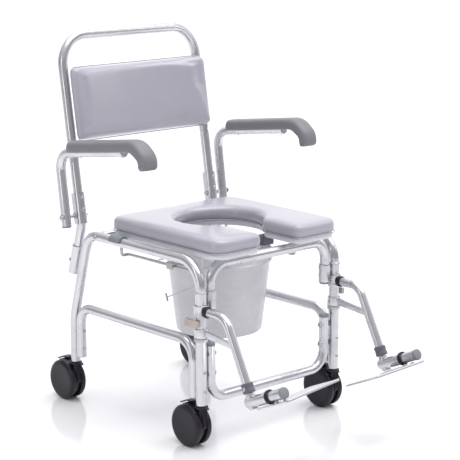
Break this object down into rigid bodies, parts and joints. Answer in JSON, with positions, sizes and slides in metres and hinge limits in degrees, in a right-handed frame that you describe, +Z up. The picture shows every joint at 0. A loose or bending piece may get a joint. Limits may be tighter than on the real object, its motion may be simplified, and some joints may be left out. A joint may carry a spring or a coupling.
{
  "type": "commode chair",
  "caption": "Wheeled shower and commode chair with open keyhole seat, sliding pail, padded back, flip-back armrests and swing-away footrests.",
  "frame": {"origin": "on the floor, under the middle of the bounding box", "axes": "+Z up, the chair faces -Y, +X is the occupant's left"},
  "size_m": [0.5862, 0.8917, 0.9613],
  "materials": {
    "satin_aluminium": "satin anodised",
    "zinc_steel": "zinc plated",
    "grey_vinyl": "foam under glossy vinyl",
    "dark_grey_foam": "self-skinned foam",
    "black_plastic": "moulded",
    "dark_grey_plastic": "moulded",
    "beige_plastic": "moulded",
    "white_plastic": "moulded"
  },
  "bodies": {
    "frame": {"lower_cross_bar": "satin_aluminium", "seat_front_arch": "satin_aluminium", "rear_cross_tube": "satin_aluminium", "retaining_wire": "zinc_steel", "side_frame_L": "satin_aluminium", "front_leg_L": "satin_aluminium", "lower_side_rail_L": "satin_aluminium", "back_socket_L": "satin_aluminium", "pail_rail_L": "zinc_steel", "leg_collar_L": "zinc_steel", "side_frame_R": "satin_aluminium", "front_leg_R": "satin_aluminium", "lower_side_rail_R": "satin_aluminium", "back_socket_R": "satin_aluminium", "pail_rail_R": "zinc_steel", "leg_collar_R": "zinc_steel"},
    "backrest": {"back_frame": "satin_aluminium", "back_cushion": "grey_vinyl", "arm_bracket_L": "satin_aluminium", "arm_bracket_R": "satin_aluminium", "arm_pivot_bolt_L": "zinc_steel", "arm_pivot_bolt_R": "zinc_steel"},
    "seat": {"seat_pad": "grey_vinyl", "seat_board": "white_plastic", "seat_clip_L": "black_plastic", "seat_clip_R": "black_plastic"},
    "pail": {"pail": "white_plastic"},
    "bail": {"pail_bail": "zinc_steel"},
    "arm_left": {"arm_tube_L": "satin_aluminium", "arm_pad_L": "dark_grey_foam"},
    "hanger_left": {"hanger_tube_L": "satin_aluminium", "hanger_clamp_L": "black_plastic", "hanger_brace_L": "satin_aluminium", "height_collar_L": "dark_grey_plastic"},
    "latch_left": {"hanger_latch_L": "beige_plastic"},
    "footrest_left": {"footrest_stem_L": "satin_aluminium"},
    "footplate_left": {"foot_hinge_L": "satin_aluminium", "footplate_L": "satin_aluminium"},
    "arm_right": {"arm_tube_R": "satin_aluminium", "arm_pad_R": "dark_grey_foam"},
    "hanger_right": {"hanger_tube_R": "satin_aluminium", "hanger_clamp_R": "black_plastic", "hanger_brace_R": "satin_aluminium", "height_collar_R": "dark_grey_plastic"},
    "latch_right": {"hanger_latch_R": "beige_plastic"},
    "footrest_right": {"footrest_stem_R": "satin_aluminium"},
    "footplate_right": {"foot_hinge_R": "satin_aluminium", "footplate_R": "satin_aluminium"},
    "castor_front_left": {"castor_housing_FL": "black_plastic"},
    "wheels_front_left": {"castor_wheels_FL": "black_plastic"},
    "brake_front_left": {"castor_brake_FL": "black_plastic"},
    "castor_front_right": {"castor_housing_FR": "black_plastic"},
    "wheels_front_right": {"castor_wheels_FR": "black_plastic"},
    "brake_front_right": {"castor_brake_FR": "black_plastic"},
    "castor_rear_left": {"castor_housing_RL": "black_plastic"},
    "wheels_rear_left": {"castor_wheels_RL": "black_plastic"},
    "brake_rear_left": {"castor_brake_RL": "black_plastic"},
    "castor_rear_right": {"castor_housing_RR": "black_plastic"},
    "wheels_rear_right": {"castor_wheels_RR": "black_plastic"},
    "brake_rear_right": {"castor_brake_RR": "black_plastic"}
  },
  "joints": [
    {"name": "backrest_lift", "type": "slide", "parent": "frame", "child": "backrest", "axis": [0, -0.2732, 0.962], "range_m": [0, 0.1]},
    {"name": "seat_lift", "type": "slide", "parent": "frame", "child": "seat", "axis": [0, 0, 1], "range_m": [0, 0.08]},
    {"name": "pail_slide", "type": "slide", "parent": "frame", "child": "pail", "axis": [0, 1, 0], "range_m": [0, 0.3]},
    {"name": "bail_swing", "type": "hinge", "parent": "pail", "child": "bail", "pos_m": [0, 0.0657, 0.424], "axis": [1, 0, 0], "range_deg": [0, 24]},
    {"name": "arm_left_flip", "type": "hinge", "parent": "backrest", "child": "arm_left", "pos_m": [0.2665, 0.3298, 0.5], "axis": [-1, 0, 0], "range_deg": [0, 95]},
    {"name": "hanger_left_swing", "type": "hinge", "parent": "frame", "child": "hanger_left", "pos_m": [0.225, -0.1392, 0.3415], "axis": [0, 0, 1], "range_deg": [0, 95]},
    {"name": "latch_left_press", "type": "hinge", "parent": "frame", "child": "latch_left", "pos_m": [0.245, -0.1492, 0.312], "axis": [0, 0, -1], "range_deg": [0, 15]},
    {"name": "footrest_left_height", "type": "slide", "parent": "hanger_left", "child": "footrest_left", "axis": [0, -0.454, -0.891], "range_m": [0, 0.06]},
    {"name": "footplate_left_flip", "type": "hinge", "parent": "footrest_left", "child": "footplate_left", "pos_m": [0.225, -0.31863, 0.1599], "axis": [0, 0.9135, -0.4067], "range_deg": [0, 85]},
    {"name": "arm_right_flip", "type": "hinge", "parent": "backrest", "child": "arm_right", "pos_m": [-0.2665, 0.3298, 0.5], "axis": [-1, 0, 0], "range_deg": [0, 95]},
    {"name": "hanger_right_swing", "type": "hinge", "parent": "frame", "child": "hanger_right", "pos_m": [-0.225, -0.1392, 0.3415], "axis": [0, 0, -1], "range_deg": [0, 95]},
    {"name": "latch_right_press", "type": "hinge", "parent": "frame", "child": "latch_right", "pos_m": [-0.245, -0.1492, 0.312], "axis": [0, 0, 1], "range_deg": [0, 15]},
    {"name": "footrest_right_height", "type": "slide", "parent": "hanger_right", "child": "footrest_right", "axis": [0, -0.454, -0.891], "range_m": [0, 0.06]},
    {"name": "footplate_right_flip", "type": "hinge", "parent": "footrest_right", "child": "footplate_right", "pos_m": [-0.225, -0.31863, 0.1599], "axis": [0, -0.9135, 0.4067], "range_deg": [0, 85]},
    {"name": "front_left_swivel", "type": "hinge", "parent": "frame", "child": "castor_front_left", "pos_m": [0.225, -0.1392, 0.05], "axis": [0, 0, 1], "continuous": true},
    {"name": "front_left_roll", "type": "hinge", "parent": "castor_front_left", "child": "wheels_front_left", "pos_m": [0.225, -0.1032, 0.052], "axis": [1, 0, 0], "continuous": true},
    {"name": "front_left_brake", "type": "hinge", "parent": "castor_front_left", "child": "brake_front_left", "pos_m": [0.225, -0.1132, 0.1125], "axis": [-1, 0, 0], "range_deg": [0, 4]},
    {"name": "front_right_swivel", "type": "hinge", "parent": "frame", "child": "castor_front_right", "pos_m": [-0.225, -0.1392, 0.05], "axis": [0, 0, 1], "continuous": true},
    {"name": "front_right_roll", "type": "hinge", "parent": "castor_front_right", "child": "wheels_front_right", "pos_m": [-0.225, -0.1032, 0.052], "axis": [1, 0, 0], "continuous": true},
    {"name": "front_right_brake", "type": "hinge", "parent": "castor_front_right", "child": "brake_front_right", "pos_m": [-0.225, -0.1132, 0.1125], "axis": [-1, 0, 0], "range_deg": [0, 4]},
    {"name": "rear_left_swivel", "type": "hinge", "parent": "frame", "child": "castor_rear_left", "pos_m": [0.225, 0.3578, 0.05], "axis": [0, 0, 1], "continuous": true},
    {"name": "rear_left_roll", "type": "hinge", "parent": "castor_rear_left", "child": "wheels_rear_left", "pos_m": [0.225, 0.3938, 0.052], "axis": [1, 0, 0], "continuous": true},
    {"name": "rear_left_brake", "type": "hinge", "parent": "castor_rear_left", "child": "brake_rear_left", "pos_m": [0.225, 0.3838, 0.1125], "axis": [-1, 0, 0], "range_deg": [0, 4]},
    {"name": "rear_right_swivel", "type": "hinge", "parent": "frame", "child": "castor_rear_right", "pos_m": [-0.225, 0.3578, 0.05], "axis": [0, 0, 1], "continuous": true},
    {"name": "rear_right_roll", "type": "hinge", "parent": "castor_rear_right", "child": "wheels_rear_right", "pos_m": [-0.225, 0.3938, 0.052], "axis": [1, 0, 0], "continuous": true},
    {"name": "rear_right_brake", "type": "hinge", "parent": "castor_rear_right", "child": "brake_rear_right", "pos_m": [-0.225, 0.3838, 0.1125], "axis": [-1, 0, 0], "range_deg": [0, 4]}
  ]
}
